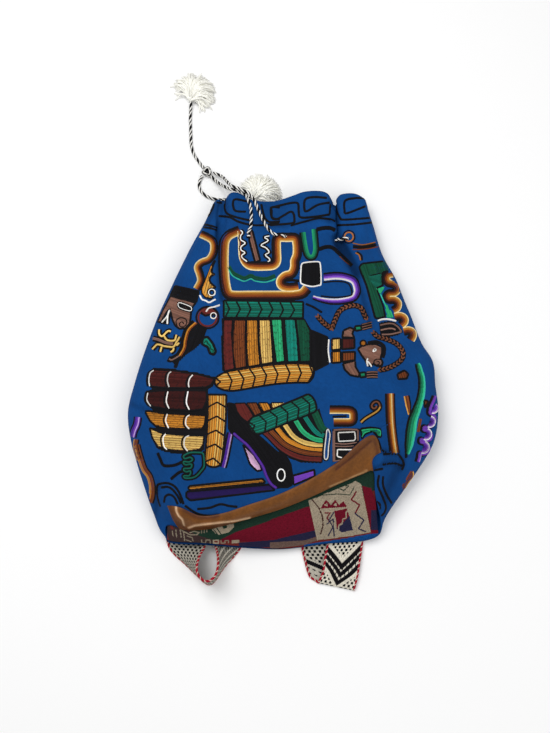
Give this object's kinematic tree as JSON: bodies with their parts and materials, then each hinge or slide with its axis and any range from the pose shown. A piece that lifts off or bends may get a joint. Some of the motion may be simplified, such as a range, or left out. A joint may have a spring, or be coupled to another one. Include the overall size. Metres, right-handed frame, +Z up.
{
  "type": "drawstring backpack",
  "caption": "Soft drawstring bucket backpack of embroidered cloth lying on its back, with a woven base, leather strip, woven shoulder straps and a tasselled braided cord.",
  "frame": {"origin": "on the floor under the middle of the bag and its straps, without the free cord", "axes": "+Y from the base to the mouth, +Z up from the floor through the front of the bag, +X to the right of the front"},
  "size_m": [0.4614, 0.8138, 0.091],
  "materials": {
    "cloth_blue": "matte blue cloth with wool embroidery",
    "woven_base": "matte striped hand-woven cloth",
    "leather_brown": "smooth brown leather, slight sheen",
    "woven_strap": "matte cream and black warp-faced band",
    "cord_braid": "matte black and white round braid",
    "wool_white": "soft white wool"
  },
  "bodies": {
    "root": {"bag_body": "cloth_blue", "base_panel": "woven_base", "base_trim": "leather_brown", "strap_left": "woven_strap", "strap_right": "woven_strap", "drawcord_neck": "cord_braid", "drawcord_lead_left": "cord_braid", "drawcord_lead_right": "cord_braid", "drawcord_knot": "cord_braid", "drawcord_tail_long": "cord_braid", "drawcord_tail_short": "cord_braid", "tassel_long": "wool_white", "tassel_short": "wool_white"}
  },
  "joints": []
}
